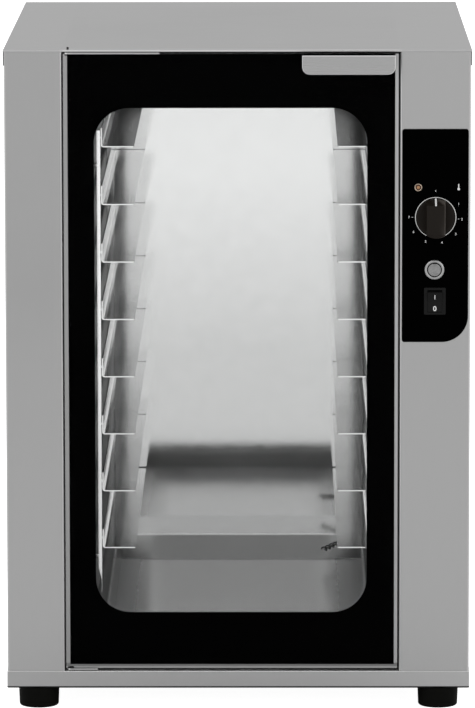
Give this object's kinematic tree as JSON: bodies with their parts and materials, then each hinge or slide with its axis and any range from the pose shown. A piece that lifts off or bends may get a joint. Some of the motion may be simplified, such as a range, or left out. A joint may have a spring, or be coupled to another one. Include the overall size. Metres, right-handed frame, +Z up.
{
  "type": "cabinet dough proofer",
  "caption": "Free-standing cabinet proofer with a hinged full-height glass door, tray runners inside, and a knob, push-button, rocker switch and lamp on its right front column.",
  "frame": {"origin": "on the ground, at the middle of the bounding box's bottom face", "axes": "+Z up, the door faces -Y, +X to the right as seen from the front"},
  "size_m": [0.6, 0.738, 0.8607],
  "materials": {
    "housing_steel": "brushed, satin",
    "door_steel": "brushed, satin",
    "handle_steel": "brushed, satin",
    "cavity_steel": "bright rolled",
    "rack_steel": "bright",
    "zinc_steel": "plated",
    "bulb_metal": "dark oxidised",
    "heater_sheath": "dark oxidised",
    "clear_glass": "clear, polished",
    "black_enamel": "glossy",
    "fascia_black": "glossy",
    "knob_plastic": "fine moulded",
    "ring_chrome": "polished",
    "lamp_amber": "clear amber",
    "button_metal": "turned",
    "switch_plastic": "fine moulded",
    "terminal_plastic": "moulded",
    "gland_plastic": "moulded",
    "foot_rubber": "moulded",
    "seal_rubber": "extruded",
    "mineral_wool": "fibrous"
  },
  "bodies": {
    "cabinet": {"back_panel": "housing_steel", "base_pan": "housing_steel", "button_housing": "button_metal", "cable_gland": "gland_plastic", "case_screws": "zinc_steel", "cavity_back_wall": "cavity_steel", "cavity_ceiling": "cavity_steel", "cavity_floor": "cavity_steel", "cavity_left_wall": "cavity_steel", "cavity_right_wall": "cavity_steel", "control_fascia": "fascia_black", "foot_studs": "zinc_steel", "front_left_foot": "foot_rubber", "front_right_foot": "foot_rubber", "heating_element": "heater_sheath", "hinge_pins": "zinc_steel", "insulation_back": "mineral_wool", "insulation_sides": "mineral_wool", "insulation_top": "mineral_wool", "left_runner_1": "cavity_steel", "left_runner_2": "cavity_steel", "left_runner_3": "cavity_steel", "left_runner_4": "cavity_steel", "left_runner_5": "cavity_steel", "left_runner_6": "cavity_steel", "left_runner_7": "cavity_steel", "left_runner_8": "cavity_steel", "left_side_panel": "housing_steel", "pilot_lamp": "lamp_amber", "rack_posts": "rack_steel", "rear_left_foot": "foot_rubber", "rear_right_foot": "foot_rubber", "right_runner_1": "cavity_steel", "right_runner_2": "cavity_steel", "right_runner_3": "cavity_steel", "right_runner_4": "cavity_steel", "right_runner_5": "cavity_steel", "right_runner_6": "cavity_steel", "right_runner_7": "cavity_steel", "right_runner_8": "cavity_steel", "right_side_panel": "housing_steel", "switch_housing": "switch_plastic", "terminal_block": "terminal_plastic", "thermostat_body": "knob_plastic", "thermostat_bulb": "bulb_metal", "top_lid": "housing_steel"},
    "door": {"door_frame": "door_steel", "door_liner": "cavity_steel", "door_glass": "clear_glass", "glass_border": "black_enamel", "door_gasket": "seal_rubber", "door_handle": "handle_steel", "handle_screws": "zinc_steel", "top_hinge_plate": "zinc_steel", "bottom_hinge_plate": "zinc_steel"},
    "knob": {"control_knob": "knob_plastic", "knob_ring": "ring_chrome", "control_shaft": "zinc_steel"},
    "button": {"push_button": "button_metal"},
    "rocker": {"rocker_key": "switch_plastic"}
  },
  "joints": [
    {"name": "door_hinge", "type": "hinge", "parent": "cabinet", "child": "door", "pos_m": [-0.217, -0.3375, 0.4525], "axis": [0, 0, -1], "range_deg": [0, 92]},
    {"name": "knob_turn", "type": "hinge", "parent": "cabinet", "child": "knob", "pos_m": [0.2537, -0.355, 0.6425], "axis": [0, 1, 0], "range_deg": [0, 270]},
    {"name": "button_press", "type": "slide", "parent": "cabinet", "child": "button", "axis": [0, 1, 0], "range_m": [0, 0.003], "stiffness_N_per_m": 900, "springref_m": -0.002},
    {"name": "rocker_tilt", "type": "hinge", "parent": "cabinet", "child": "rocker", "pos_m": [0.2531, -0.344, 0.5337], "axis": [-1, 0, 0], "range_deg": [0, 20]}
  ]
}
